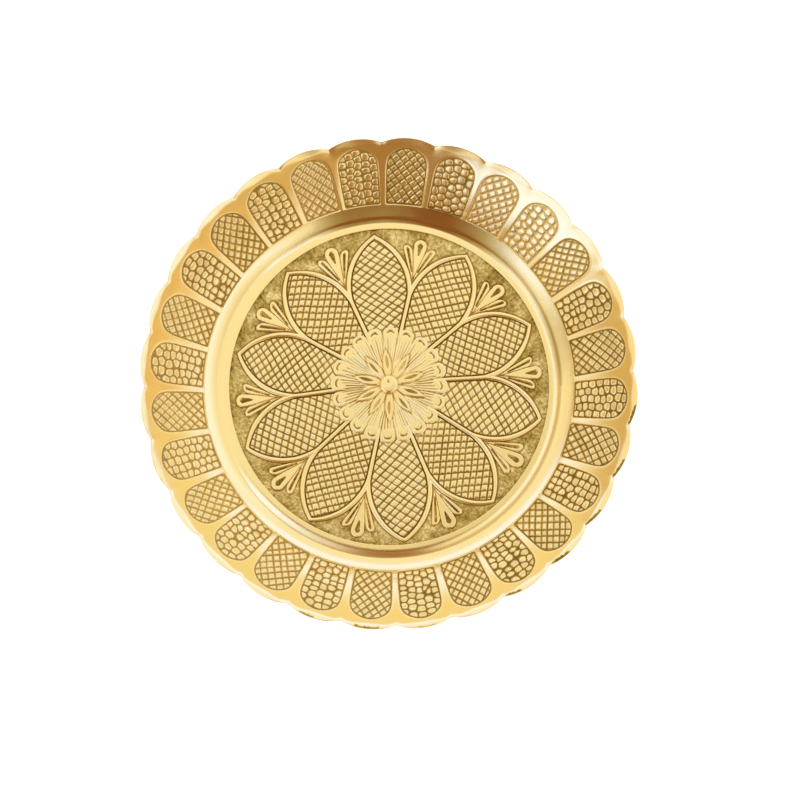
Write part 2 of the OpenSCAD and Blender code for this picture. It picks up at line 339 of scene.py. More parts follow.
def petal_relief(x, y, wx, wy, index, carving):
    """Height over the ground and wear of one petal, its lines and the halves of two palmettes.

    x runs along the petal and y across, in millimetres; wx and wy are the same points on the plate. A line
    stands where the distance inside the outline is within half its width of 0; a crosscut fills the inside;
    outside stand drops about the axes between petals."""
    rng = np.random.default_rng(100 + index)
    half = math.radians(PETAL_STEP / 2)
    side = np.abs(y)
    arc = PETAL_ARC_R - np.hypot(x - PETAL_WIDE_R, side + PETAL_ARC_R - PETAL_HALF_W)
    wedge = x * math.sin(half) - side * math.cos(half)
    inside = np.where(x < PETAL_FORK_R, wedge, np.minimum(wedge, arc))
    r = np.hypot(x, y)

    # The line round the petal, with a cut beside it
    off = np.abs(inside + 0.06 * (grain(wx, wy, 3.0, 11) - 0.5))
    broad = PETAL_LINE_HALF + 0.13 * ease(23, 28, r) - 0.16 * ease(36, 41.5, r)
    line = 1 - ease(broad - 0.08, broad + 0.16, off)
    groove = bump(off, broad + 0.27, 0.13) * np.where(inside > 0, 1.0, 0.55)
    height = LINE_H * line * (1 - 0.16 * (off / 0.5) ** 2)
    wear_and_light = line

    # The crosscut field
    turn = carving.cross_turn + rng.uniform(-4, 3), -carving.cross_turn + rng.uniform(-3, 6)
    pitch = carving.cross_pitch * rng.uniform(0.93, 1.07, 2)
    top, dome, tint = crosscut(x, y, turn, pitch, 300 + 9 * index, 0.095)
    faint = rng.uniform(0.55, 0.95)
    faint = faint + (1 - faint) * ease(14, 20, x)
    field = ease(broad + 0.10, broad + 0.36, inside)
    height = height + field * (FIELD_H * 0.2 + (0.04 + 0.12 * faint) * top + 0.10 * dome + 0.03 * tint)
    cell_wear = (1 - 0.95 * faint * (1 - top)) * (0.76 + 0.20 * tint)
    wear_and_light = wear_and_light + field * cell_wear

    # The palmettes, each about the axis half a step from the petal's
    away = np.degrees(np.arctan2(side, x)) - PETAL_STEP / 2
    a, b = plan(r, away)
    lean = np.where(y > 0, index, index - 1) % PETALS
    sway = np.random.default_rng(40).uniform(-1, 1, (3, PETALS))
    b = b * np.where(y > 0, 1.0, -1.0) + 0.22 * sway[0][lean] * ease(29, 40, a)
    out = a - PALMETTE_FOOT_R
    reach = np.clip(out / SIDE_DROP_REACH, 0.0, 1.3)
    middle = drop(out, b, DROP_L, 0.42, DROP_R + 0.12 * sway[1][lean])
    eye = drop(out - EYE_START, b, EYE_L, 0.14, EYE_R)
    bent = np.abs(b) - SIDE_DROP_OUT * reach**1.1
    beside = drop(out, bent, SIDE_DROP_L + 0.4 * sway[2][lean], 0.50, SIDE_DROP_R)
    slit = drop(out - SLIT_START, bent, SLIT_L, 0.16, SLIT_R)
    stem = np.maximum(np.abs(b) - STEM_HALF, np.maximum(STEM_FROM_R - a, a - STEM_TO_R))
    solid = np.minimum(np.minimum(middle, beside), stem)
    hollow = np.minimum(eye, slit)
    between = np.abs(beside - middle)
    work = (1 - ease(-0.10, 0.14, solid)) * ease(-0.05, 0.12, hollow)
    work = work * (1 - 0.95 * bump(between, 0, 0.14) * (1 - ease(0.5, 0.9, np.abs(beside))))

    # The ground round them: stippled, scratched along its arcs and stained in patches
    ground = ease(broad + 0.02, broad + 0.34, -inside)
    cut = bump(solid, 0.24, 0.14)
    stipple = grain(wx, wy, 0.50, 21) + 0.7 * grain(wy, wx, 0.31, 22)
    bearing = np.degrees(np.arctan2(wy - NET_SHIFT, wx - NET_SHIFT))
    scratch = grain(r * 0.35, bearing * 0.75, 0.40, 23)
    patch = grain(wx, wy, 2.6, 24)
    rough = 0.075 * stipple + 0.05 * scratch - 0.08
    inner = (1 - ease(-0.22, 0.04, hollow)) * (solid < 0)
    height = height + ground * (LINE_H * 0.92 * work * ease(42.7, 41.9, r) + rough * (1 - work) - 0.07 * cut)
    floor_wear = 0.015 + 0.34 * stipple + 0.16 * scratch + 0.42 * (patch - 0.42)
    floor_wear = floor_wear - 0.10 * ease(41.4, 42.7, r)
    wear_and_light = wear_and_light + ground * (work * 0.96 + (1 - work) * (floor_wear - 0.22 * cut - 0.30 * inner))
    height = height - 0.10 * groove
    wear_and_light = wear_and_light * (1 - 0.85 * groove)
    return height, np.clip(wear_and_light, 0, 1)


def panel_relief(r, turn, index, wx, wy, carving):
    """Depth below the wall's face and wear of one arched panel and the ribs beside it.

    turn is the bearing from the panel's axis. The distance inside the outline is the least of those to its
    two sides, its arched head and its foot, with the corners rounded; an incised line runs just inside it."""
    rng = np.random.default_rng(500 + index)
    sway = rng.uniform(-1, 1, 6)
    x, y = plan(r, turn)
    y = y + 0.12 * sway[0] + 0.10 * (grain(wx, wy, 4.0, 31) - 0.5)
    grow = (PANEL_CROWN_HALF - PANEL_FOOT_HALF) / (PANEL_CROWN_R - PANEL_FOOT_R)
    half = PANEL_FOOT_HALF + grow * (x - PANEL_FOOT_R) + 0.08 * sway[1]
    crown = PANEL_CROWN_R + 0.18 * sway[2]
    head = ARCH_R - np.hypot(x - crown + ARCH_R, y * 0.97)
    head = np.where(x > crown - ARCH_R, head, ARCH_R)
    inside = soft_min(half - np.abs(y), head, PANEL_CORNER_R)
    inside = soft_min(inside, r - PANEL_FOOT_R - 0.05 + 0.1 * sway[3], PANEL_FOOT_CORNER_R)

    if index % 2 == 0:
        bearing = carving.cross_turn - 2 + 4 * sway[4], -carving.cross_turn - 8 + 3 * sway[5]
        pitch = carving.panel_pitch * np.array([0.93, 1.06]) * (1 + 0.05 * sway[3:5])
        top, dome, tint = crosscut(x, y, bearing, pitch, 700 + 9 * index, 0.10)
        cell = 0.14 * top + 0.07 * dome + 0.03 * tint
        cell_wear = (1 - 0.92 * (1 - top)) * (0.68 + 0.28 * tint)
    else:
        row = (PANEL_CROWN_R - PANEL_FOOT_R) / carving.pebble_rows
        size = (PANEL_FOOT_R, row, PANEL_FOOT_HALF, grow)
        top, tint = cobbles(x, y, carving.pebble_columns, carving.pebble_rows, size, 900 + index)
        cell = 0.26 * top + 0.04 * tint
        cell_wear = (1 - 0.95 * (1 - ease(0.0, 0.55, top))) * (0.68 + 0.28 * tint)
    field = ease(0.20, 0.46, inside)
    line = bump(inside, 0.12, 0.14)
    depth = PANEL_DEPTH * ease(-0.14, 0.14, inside) - field * cell + 0.03 * bump(inside, -0.25, 0.2)
    wear_and_light = (1 - ease(-0.05, 0.30, inside)) + field * cell_wear
    wear_and_light = wear_and_light * (1 - (0.40 + 0.45 * grain(wx, wy, 2.2, 33)) * line)
    # Painted light: the panels on the left, and those on both sides of the far middle, are painted brighter
    way = PANEL_TURN + index * PANEL_STEP
    painted_light = 0.26 * bump(way, 205, 62) + 0.32 * bump(way, 108, 15) + 0.52 * bump(way, 52, 17)
    wear_and_light = painted_light + (1 - painted_light) * wear_and_light
    # The upper wall under the lip on the left is a little darker in patches
    lip_darkening = bump(way + turn, 196, 17) * ease(56.5, 62.5, r) * ease(0.25, 0.8, grain(wx, wy, 1.6, 37))
    wear_and_light = wear_and_light * (1 - 0.22 * lip_darkening)

    # The valley that runs in from each notch of the edge, and the slow unevenness of the casting
    gap = r * np.sin(np.radians(PANEL_STEP / 2 - np.abs(turn)))
    depth = depth + 0.07 * bump(gap, 0, 1.1) * ease(60.8, 63.9, r) * (1 - field)
    depth = depth + 0.05 * grain(wx, wy, 3.1, 35) * ease(50.2, 51.5, r) * (1 - ease(63.2, 64.2, r))
    return depth, np.clip(wear_and_light, 0, 1)


def rosette_relief(r, bearing, carving):
    """Height over the ground and wear of the rosette, by radius and bearing about the axis.

    Its lobes carry a crescent each; fine rays are grooves at whole numbers of the bearing over their step;
    the leaves of the flower stand on it, each with a slit down its middle."""
    wx, wy = plan(r, bearing)
    rng = np.random.default_rng(61)
    step = 360.0 / LOBES
    turn = bearing - PETAL_TURN - LOBE_TURN
    lobe = np.floor(turn / step).astype(int)
    away = turn - (lobe + 0.5) * step
    x, y = plan(r, away)
    shake = rng.uniform(-1, 1, (3, LOBES))
    edge = LOBE_R - np.hypot(x - LOBE_CENTRE_R, y)
    # The lobes' outer edges sink a little and are painted darker, as painted shade where the rosette drops to
    # the petals
    height = ROSETTE_H - 0.10 * bump(edge, 0.0, 0.20) * ease(13.6, 14.0, r)
    wear_and_light = 0.93 - 0.40 * bump(edge, 0.0, 0.16) * ease(13.6, 14.0, r)

    # Crescents, each a band of an arc that thins out to its ends
    arc = np.hypot(x - CRESCENT_CENTRE_R - 0.3 * shake[0][lobe % LOBES], y)
    crescent = bump(arc, CRESCENT_R, 0.20) * ease(12.9, 13.9, x) * (1 - ease(0.75, 1.25, np.abs(y)))
    height = height - 0.24 * crescent
    wear_and_light = wear_and_light * (1 - 0.85 * crescent)
    # Folds that run in from the notches
    fold = bump(r * np.sin(np.radians(step / 2 - np.abs(away))), 0, 0.20)
    fold = fold * ease(9.0 + 2.5 * shake[1][lobe % LOBES], 13.5, r)
    height = height - 0.16 * fold
    wear_and_light = wear_and_light * (1 - 0.55 * fold)

    # Fine rays
    u = turn / 360.0 * RAYS + 0.5 * (grain(wx + 70, wy + 70, 3.0, 63) - 0.5)
    ray = np.round(u).astype(int) % RAYS
    reach = rng.uniform(-0.8, 0.8, (2, RAYS))
    strength = rng.uniform(0.35, 1.0, RAYS)[ray]
    off = np.abs(u - np.round(u)) * np.radians(360.0 / RAYS) * r
    start = ease(5.6, 7.6, r + reach[0][ray])
    end = 1 - ease(11.9, 12.8, r + reach[1][ray])
    cut = (1 - ease(0.05, 0.20, off)) * strength * start * end
    height = height - 0.13 * cut
    wear_and_light = wear_and_light * (1 - 0.60 * cut)

    # The flower's leaves
    for n in range(PETALS):
        along, across = plan(r, bearing - PETAL_TURN - n * PETAL_STEP - LEAF_TURNS[n])
        across = across + 0.05 * np.sin(along * 1.1 + n)
        body = leaf(along, across, LEAF_FROM_R, LEAF_TO_R + 0.35 * math.sin(3.0 * n), carving.leaf_width)
        body = np.where(along > 0, body, OUTSIDE)
        slit = leaf(along, across - 0.16 * math.cos(2.1 * n), *LEAF_SLIT)
        slit = np.where(along > 0, slit, OUTSIDE)
        stand = ease(-0.26, 0.30, body)
        height = height * (1 - stand) + stand * FLOWER_H
        cut = bump(body, -0.20, 0.16)
        height = height - 0.09 * cut * (1 - ease(9.8, 10.4, along))
        # The cut round each leaf is darkened for its patina, and more on one side as painted shade
        shade = 0.20 + 0.30 * (across < 0)
        wear_and_light = wear_and_light * (1 - shade * cut * (1 - ease(10.0, 10.6, along)))
        wear_and_light = np.maximum(wear_and_light, 0.97 * ease(0.0, 0.25, body))
        hollow = ease(-0.05, 0.30, slit)
        height = height - 0.26 * hollow
        wear_and_light = wear_and_light * (1 - (0.62 + 0.2 * math.sin(5.0 * n)) * hollow)

    # The flat round the stud
    hub = 1 - ease(2.9, 3.25, r)
    height = height * (1 - hub) + FLOWER_H * hub
    wear_and_light = wear_and_light * (1 - 0.40 * bump(r, 2.80, 0.16))
    old = grain(wx, wy, 4.5, 65)
    wear_and_light = wear_and_light - 0.10 * (old - 0.3)
    return height, np.clip(wear_and_light, 0, 1)


class ThaliCarving(bpy.types.PropertyGroup):
    """Sizes of the chased patterns."""

    cross_pitch: FloatProperty(
        name="Petal Crosscut",
        description="Distance between two grooves in a petal, in millimetres",
        default=1.75, min=0.8, max=2.5,
    )
    panel_pitch: FloatProperty(
        name="Panel Crosscut",
        description="Distance between two grooves in a rim panel, in millimetres",
        default=1.65, min=0.8, max=2.5,
    )
    cross_turn: FloatProperty(
        name="Crosscut Angle",
        description="Angle between a petal's or panel's axis and the way across its grooves, in degrees",
        default=40.0, min=20.0, max=70.0,
    )
    pebble_columns: IntProperty(
        name="Pebble Columns",
        description="Pebbles across a rim panel",
        default=5, min=3, max=7,
    )
    pebble_rows: IntProperty(
        name="Pebble Rows",
        description="Pebbles along a rim panel",
        default=8, min=5, max=12,
    )
    leaf_width: FloatProperty(
        name="Leaf Width",
        description="Greatest width of a leaf of the small flower, in millimetres",
        default=2.35, min=1.5, max=3.0,
    )


class ThaliBrass(bpy.types.PropertyGroup):
    """Colours and gloss of the brass."""

    bright: FloatVectorProperty(
        name="Bright Brass",
        description="Colour of the rubbed, polished brass",
        subtype="COLOR", size=3, default=(0.97, 0.735, 0.295), min=0, max=1,
    )
    middle: FloatVectorProperty(
        name="Worn Brass",
        description="Colour of brass half way into a recess",
        subtype="COLOR", size=3, default=(0.55, 0.36, 0.080), min=0, max=1,
    )
    dark: FloatVectorProperty(
        name="Dark Recess",
        description="Colour of the old polish and tarnish in the recesses",
        subtype="COLOR", size=3, default=(0.21, 0.120, 0.008), min=0, max=1,
    )
    bright_gloss: FloatProperty(
        name="Bright Roughness",
        description="Roughness of the polished brass",
        subtype="FACTOR", default=0.165, min=0.02, max=1,
    )
    dark_gloss: FloatProperty(
        name="Recess Roughness",
        description="Roughness of the brass in the recesses",
        subtype="FACTOR", default=0.55, min=0.02, max=1,
    )


class ThaliStage(bpy.types.PropertyGroup):
    """Camera, floor and light."""

    elevation: FloatProperty(
        name="Elevation",
        description="Camera's height above the horizon",
        subtype="ANGLE", default=math.radians(82.0), min=0, max=math.pi / 2,
    )
    distance: FloatProperty(
        name="Distance",
        description="Distance from the camera to its aim",
        unit="LENGTH", default=0.42, min=0.2, max=3,
    )
    lens: FloatProperty(
        name="Lens",
        description="Focal length of the camera, in millimetres",
        default=71.25, min=20, max=200,
    )
    sky: FloatProperty(
        name="Sky",
        description="Strength of the even light all round",
        default=1.0, min=0, max=5,
    )
    floor: FloatVectorProperty(
        name="Floor",
        description="Colour of the floor",
        subtype="COLOR", size=3, default=(0.88, 0.88, 0.88), min=0, max=1,
    )


def brass(name, grain_size, spin, tint=(1, 1, 1), dark=None):
    """A brass finish.

    The attribute for rubbing, tarnish and painted light and shade, broken up by noise, picks the colour and
    roughness between the dark of the recesses and of painted shade, and the bright metal. A fine grain, its
    size in millimetres, stands as a bump, and with spin so do the rings of turning. tint multiplies the
    colours, and a finish may have a dark of its own."""
    look = bpy.context.scene.thali_brass
    material = bpy.data.materials.new(name)
    material.use_nodes = True
    nodes, links = material.node_tree.nodes, material.node_tree.links
    shader = nodes["Principled BSDF"]
    shader.inputs["Metallic"].default_value = 1.0
    place = nodes.new("ShaderNodeTexCoord")
    worn_and_lit = nodes.new("ShaderNodeAttribute")
    worn_and_lit.attribute_name = "wear_and_light"

    clouds = nodes.new("ShaderNodeTexNoise")
    clouds.inputs["Scale"].default_value = 240
    clouds.inputs["Detail"].default_value = 5
    clouds.inputs["Roughness"].default_value = 0.62
    specks = nodes.new("ShaderNodeTexNoise")
    specks.inputs["Scale"].default_value = 1 / (grain_size * METRES)
    specks.inputs["Detail"].default_value = 3
    for texture in (clouds, specks):
        links.new(place.outputs["Object"], texture.inputs["Vector"])

    def added(first, texture, amount):
        """first plus amount times the noise about its middle."""
        spread = nodes.new("ShaderNodeMath")
        spread.operation = "MULTIPLY_ADD"
        links.new(texture.outputs["Fac"], spread.inputs[0])
        spread.inputs[1].default_value = amount
        spread.inputs[2].default_value = -amount / 2
        total = nodes.new("ShaderNodeMath")
        total.operation = "ADD"
        links.new(first, total.inputs[0])
        links.new(spread.outputs[0], total.inputs[1])
        return total.outputs[0]

    tone = added(added(worn_and_lit.outputs["Fac"], clouds, 0.16), specks, 0.10)
    ramp = nodes.new("ShaderNodeValToRGB")
    stops = ramp.color_ramp.elements
    stops[0].position, stops[1].position = 0.0, 0.80
    middle = stops.new(0.40)
    for stop, colour in zip((stops[0], middle, stops[-1]), (dark or look.dark, look.middle, look.bright)):
        stop.color = (*[c * t for c, t in zip(colour, tint)], 1)
    links.new(tone, ramp.inputs["Fac"])
    links.new(ramp.outputs["Color"], shader.inputs["Base Color"])

    gloss = nodes.new("ShaderNodeMapRange")
    links.new(tone, gloss.inputs["Value"])
    gloss.inputs["To Min"].default_value = look.dark_gloss
    gloss.inputs["To Max"].default_value = look.bright_gloss
    links.new(gloss.outputs["Result"], shader.inputs["Roughness"])

    relief = nodes.new("ShaderNodeBump")
    relief.inputs["Strength"].default_value = 0.35
    relief.inputs["Distance"].default_value = 0.03 * METRES
    links.new(specks.outputs["Fac"], relief.inputs["Height"])
    if spin:
        rings = nodes.new("ShaderNodeTexWave")
        rings.wave_type, rings.rings_direction = "RINGS", "Z"
        rings.inputs["Scale"].default_value = 420
        rings.inputs["Distortion"].default_value = 2.5
        rings.inputs["Detail"].default_value = 2
        links.new(place.outputs["Object"], rings.inputs["Vector"])
        turned = nodes.new("ShaderNodeBump")
        turned.inputs["Strength"].default_value = spin
        turned.inputs["Distance"].default_value = 0.02 * METRES
        links.new(rings.outputs["Fac"], turned.inputs["Height"])
        links.new(relief.outputs["Normal"], turned.inputs["Normal"])
        relief = turned
    links.new(relief.outputs["Normal"], shader.inputs["Normal"])
    return material


def cast_brass():
    """The finish of the chased casting, made once."""
    return bpy.data.materials.get("cast_brass") or brass("cast_brass", 0.22, 0)


class THALI_OT_petals(bpy.types.Operator):
    """Lays the ten lotus petals and the palmettes between them on the floor of the plate"""

    bl_idname = "thali.petals"
    bl_label = "Lotus Petals"

    def execute(self, context):
        carving = context.scene.thali_carving
        bearing = np.linspace(-PETAL_STEP / 2, PETAL_STEP / 2, 187)[:, None]
        radius = np.linspace(PETAL_IN_R, GROUND_R + 0.13, 200)[None, :]
        x, y = plan(radius, bearing)
        for index in range(PETALS):
            way = bearing + PETAL_TURN + index * PETAL_STEP
            wx, wy = plan(radius, way)
            height, wear_and_light = petal_relief(x, y, wx + NET_SHIFT, wy + NET_SHIFT, index, carving)
            # The middle of every petal lies a little off the axis, on the camera's side
            astray = 0.42 * ease(13, 26, radius) * (1 - ease(41.2, 42.7, radius)) + 0 * bearing
            top = np.stack([wx, wy - astray, GROUND_Z + height], -1)
            below = np.stack([top[:, -1], top[:, 0]], 1)
            below[..., 2] = FLOOR_UNDER_Z
            wear_and_light = np.concatenate([wear_and_light, np.full((len(wear_and_light), 2), CORE_WEAR)], 1)
            piece = make_piece(f"petal_{index + 1:02d}", np.concatenate([top, below], 1), False, wear_and_light)
            fit_piece(piece, cast_brass(), "plate_brass", "well_floor")
        return {"FINISHED"}


class THALI_OT_rosette(bpy.types.Operator):
    """Sets the rosette of twenty lobes and its ten-leaved flower on the middle of the floor"""

    bl_idname = "thali.rosette"
    bl_label = "Rosette"

    def execute(self, context):
        bearing = np.linspace(0, 360, 720, endpoint=False)[:, None]
        step = 360.0 / LOBES
        turn = np.radians(((bearing - PETAL_TURN - LOBE_TURN) % step) - step / 2)
        edge = LOBE_CENTRE_R * np.cos(turn) + np.sqrt(LOBE_R**2 - (LOBE_CENTRE_R * np.sin(turn)) ** 2)
        share = np.linspace(0.012, 1, 124)[None, :]
        radius = edge * share
        height, wear_and_light = rosette_relief(radius, bearing + 0 * radius, context.scene.thali_carving)
        # Below its edge the rosette steps in to a core that fits inside the petals' inner ends
        flat = 0 * edge
        core = flat + PETAL_IN_R - 0.02
        radius = np.concatenate([radius, edge + 0.03, edge + 0.05, core, core, flat + 0.2], 1)
        steps = (GROUND_Z + 0.25, GROUND_Z - 0.3, GROUND_Z - 0.3, FLOOR_UNDER_Z, FLOOR_UNDER_Z)
        height = np.concatenate([GROUND_Z + height] + [flat + z for z in steps], 1)
        wear_and_light = np.concatenate([wear_and_light] + [flat + tone for tone in (0.5, 0.1, 0.3, CORE_WEAR, CORE_WEAR)], 1)
        piece = make_piece("rosette", around(radius, height, bearing), True, wear_and_light, (True, True))
        fit_piece(piece, cast_brass(), "plate_brass", "well_floor")
        return {"FINISHED"}


class THALI_OT_band(bpy.types.Operator):
    """Turns the flat band, the hollow round it and the foot of the wall"""

    bl_idname = "thali.band"
    bl_label = "Turned Band"

    def execute(self, context):
        # The slope falls off the band and comes up the cove in S curves; its running sum is the height, and
        # the fall is as steep as brings the end to the wall's foot
        fine = np.linspace(GROUND_R, PANEL_FOOT_R, 1200)
        first, cove_r = 0.20, HOLLOW_LOW_R + 0.1
        rise = first * ease(HOLLOW_LOW_R - 0.2, HOLLOW_LOW_R + 0.3, fine)
        rise = rise + (COVE_RISE - first) * np.clip((fine - cove_r) / (PANEL_FOOT_R - cove_r), 0, 1)
        fall = ease(43.5, HOLLOW_LOW_R - 0.2, fine) - ease(HOLLOW_LOW_R - 0.15, HOLLOW_LOW_R + 0.25, fine)
        step = fine[1] - fine[0]
        band_corner = 0.16
        r = np.linspace(GROUND_R + 0.26, PANEL_FOOT_R, 76)

        def face(share):
            """Height of the section with a share of the rise."""
            steep = (BAND_Z + share * rise.sum() * step - wall_height(PANEL_FOOT_R)) / (fall.sum() * step)
            return np.interp(r, fine, BAND_Z + np.cumsum(share * rise - steep * fall) * step)

        z = face(1.0)
        slope = np.gradient(z, r)
        slope[-6:] = math.tan(math.asin((BOW_CENTRE[0] - PANEL_FOOT_R) / BOW_R))
        lean = np.sqrt(1 + slope**2)
        under = np.stack([r + WALL * slope / lean, z - WALL / lean], -1)[-1::-4]
        under[:, 1] = np.maximum(under[:, 1], FLOOR_UNDER_Z * (under[:, 0] < BAND_EDGE_R))
        under = under[under[:, 0] > GROUND_R + 0.3]
        turn = np.radians(np.linspace(180, 90, 6))
        corner_r = GROUND_R + band_corner + band_corner * np.cos(turn)
        corner = np.stack([corner_r, BAND_Z - band_corner + band_corner * np.sin(turn)], -1)
        inner = [[GROUND_R, height] for height in (FLOOR_UNDER_Z + 0.15, GROUND_Z - 0.1, GROUND_Z + 0.15)]
        last = [[GROUND_R + 0.15, FLOOR_UNDER_Z]]
        section = np.concatenate([inner, corner, np.stack([r, z], -1), under, last])
        wear_and_light = np.concatenate([[0.3, 0.15, 0.5], np.linspace(0.8, 1, len(corner)), np.full(len(r), 1.0),
                               np.full(len(under), UNDER_WEAR), [CORE_WEAR]])
        bearing = np.linspace(0, 360, 900, endpoint=False)[:, None]
        points = around(section[:, 0], section[:, 1], bearing)
        first_face = len(inner) + len(corner)
        hollow = slice(first_face, first_face + len(r))
        # On the left the hollow runs out shallower
        shallow = ease(118, 150, bearing) * (1 - ease(205, 235, bearing))
        points[:, hollow, 2] += shallow * (face(0.66) - z)[None, :]
        # Old polish lies along the bottom of the hollow, except on the left. Painted reflection of the dark
        # on the camera's side darkens it more on the far side, darkens its inner fall at the lower left, and
        # darkens all of it and the cove on the far side and, thinner, at the right
        held_and_reflected = 0.34 * (1 - shallow) + 0.20 * bump(bearing, 90, 28)
        near = 0.24 * bump(bearing, 244, 18)
        far = bump(bearing, 74, 24) + 0.55 * bump(bearing, 104, 11) + 0.36 * bump(bearing, 15, 18)
        polish_and_reflection = held_and_reflected * bump(r, HOLLOW_LOW_R, 0.38)[None, :] + near * bump(r, 44.9, 0.9)[None, :]
        wear_and_light = wear_and_light + 0 * bearing
        wear_and_light[:, hollow] -= polish_and_reflection + far * ease(44.2, 44.9, r)[None, :]
        piece = make_piece("turned_band", points, True, wear_and_light)
        # Its own reddish dark colours the old polish in the hollow and the painted reflection there
        finish = brass("turned_brass", 0.35, 0.10, dark=(0.34, 0.12, 0.017))
        fit_piece(piece, finish, "plate_brass", "well_floor", "scalloped_rim")
        return {"FINISHED"}


class THALI_OT_panels(bpy.types.Operator):
    """Raises the wall with its 28 arched panels, crosscut and beaten in turn, and the scalloped lip"""

    bl_idname = "thali.panels"
    bl_label = "Rim Panels"

    def execute(self, context):
        carving = context.scene.thali_carving
        local = np.linspace(-PANEL_STEP / 2, PANEL_STEP / 2, 85)[:, None]
        share = np.linspace(0, 1, 122)[None, :]
        angle = np.radians(local)
        arc = np.sqrt(SCALLOP_R**2 - (SCALLOP_CENTRE_R * np.sin(angle)) ** 2)
        edge = SCALLOP_CENTRE_R * np.cos(angle) + arc - 0.003
        lip = edge - (LIP_W + LIP_SWELL * np.cos(angle * PANELS / 2) ** 2)
        r = PANEL_FOOT_R + (edge - 0.20 - PANEL_FOOT_R) * share
        tilt = math.tan(math.radians(LIP_SLOPE))

        def height_at(radius):
            """The wall up to the lip, and the lip's slope beyond it, with the bend between them rounded."""
            return soft_min(wall_height(radius), wall_height(lip) + (radius - lip) * tilt, 0.10)

        z = height_at(r)
        slope = np.arctan(np.gradient(z, axis=1) / np.gradient(r, axis=1))
        under_r = np.linspace(1, 0, 10)[None, :] * (edge - 0.12 - PANEL_FOOT_R) + PANEL_FOOT_R
        wall_slope = np.arcsin((BOW_CENTRE[0] - under_r) / BOW_R)
        under_slope = np.where(under_r < lip, wall_slope, math.radians(LIP_SLOPE))
        under_z = height_at(under_r) - WALL / np.cos(under_slope)
        crest_z, low_z = height_at(edge), under_z[:, :1]
        flat = 0 * edge
        # The edge itself, rounded above and below: six points from its crest down, the wear of each, and how
        # far a file mark bites in and darkens there
        rim_r = edge - np.array([0.09, 0.03, 0, 0, 0, 0.03])
        rim_z = np.concatenate([crest_z - 0.055, crest_z - 0.11, crest_z - 0.21, (crest_z + low_z) / 2,
                                low_z + 0.16, low_z + 0.06], 1)
        rim_wear = np.array([0.96, 0.92, 0.80, 0.66, 0.66, 0.66])
        bite = np.array([0, 0, 0.05, 0.05, 0, 0])
        stained = np.array([0, 0.5, 1, 1, 1, 0.6])
        for pair in range(PANELS // 2):
            rows = []
            for index in (2 * pair, 2 * pair + 1):
                way = PANEL_TURN + index * PANEL_STEP + local
                wx, wy = plan(r, way)
                depth, wear_and_light = panel_relief(r, local + 0 * r, index, wx + NET_SHIFT, wy + NET_SHIFT, carving)
                marks = flat
                for start, end, heavy in FILE_MARKS:
                    mark = ease(start - 0.6, start + 0.6, way % 360)
                    mark = mark * (1 - ease(end - 0.6, end + 0.6, way % 360))
                    marks = np.maximum(marks, heavy * mark)
                rough = grain(way * 1.1, way * 0, 0.5, 77)
                from_edge = -0.12 - (0.6 + 0.35 * rough) * marks
                to_edge = 0.02 - (0.55 + 0.3 * rough) * marks
                filed = marks * ease(from_edge, to_edge, r - edge)
                depth = depth + 0.07 * filed
                wear_and_light = wear_and_light * (1 - (0.80 + 0.15 * rough) * filed)
                top = around(r + depth * np.sin(slope), z - depth * np.cos(slope), way)
                side = around(rim_r - marks * rough * bite, rim_z, way)
                side_wear = rim_wear - 0.55 * marks * (0.5 + 0.5 * rough) * stained
                below = around(under_r, under_z, way)
                points = np.concatenate([top, side, below], 1)
                tone = np.concatenate([wear_and_light, side_wear, np.full(under_r.shape, UNDER_WEAR)], 1)
                rows.append((points, tone) if not rows else (points[1:], tone[1:]))
            points, tone = (np.concatenate(part) for part in zip(*rows))
            piece = make_piece(f"rim_panels_{pair + 1:02d}", points, False, tone)
            fit_piece(piece, cast_brass(), "plate_brass", "scalloped_rim")
        return {"FINISHED"}


class THALI_OT_stud(bpy.types.Operator):
    """Sets the domed stud with its dimple in the middle of the flower"""

    bl_idname = "thali.stud"
    bl_label = "Centre Stud"

    def execute(self, context):
        share = np.linspace(0.03, 1, 44)[None, :]
        bearing = np.linspace(0, 360, 160, endpoint=False)[:, None]
        round_off = 1 + 0.012 * np.cos(4 * np.radians(bearing) + 0.6)
        r = STUD_R * np.minimum(share * round_off, 1.0)
        x, y = plan(r, bearing)
        dome = STUD_H * (0.93 * (1 - share**9) ** 0.5 + 0.07 * (1 - share**2))
        hit = np.hypot(x + 0.22, y - 0.68)
        height = HUB_Z + dome - 0.30 * bump(hit, 0, 0.30) - 0.02 * (1 - ease(0.4, 0.9, np.abs(hit - 0.55)))
        wear_and_light = 0.98 - 0.9 * bump(hit, 0, 0.27) - 0.08 * ease(0.95, 1.0, share) + 0 * bearing
        flat = 0 * bearing
        # Under the dome come the shank and the tail, spread below the floor
        shank = 1.3
        lower = [(STUD_R - 0.15, HUB_Z - 0.08), (shank, HUB_Z - 0.1), (shank, FLOOR_UNDER_Z)]
        lower.append((TAIL_R, FLOOR_UNDER_Z - 0.02))
        tail = np.linspace(0.94, 0.06, 12)
        lower += [(TAIL_R * t, FLOOR_UNDER_Z - TAIL_H * (1 - t**2.6) ** 0.7) for t in tail]
        radius = np.concatenate([r] + [flat + p[0] for p in lower], 1)
        z = np.concatenate([height] + [flat + p[1] for p in lower], 1)
        tone = np.concatenate([wear_and_light, np.full((len(bearing), len(lower)), 0.7)], 1)
        piece = make_piece("stud", around(radius, z, bearing), True, tone, (True, True))
        fit_piece(piece, brass("stud_brass", 0.5, 0), "stud_brass", "centre_stud")
        return {"FINISHED"}


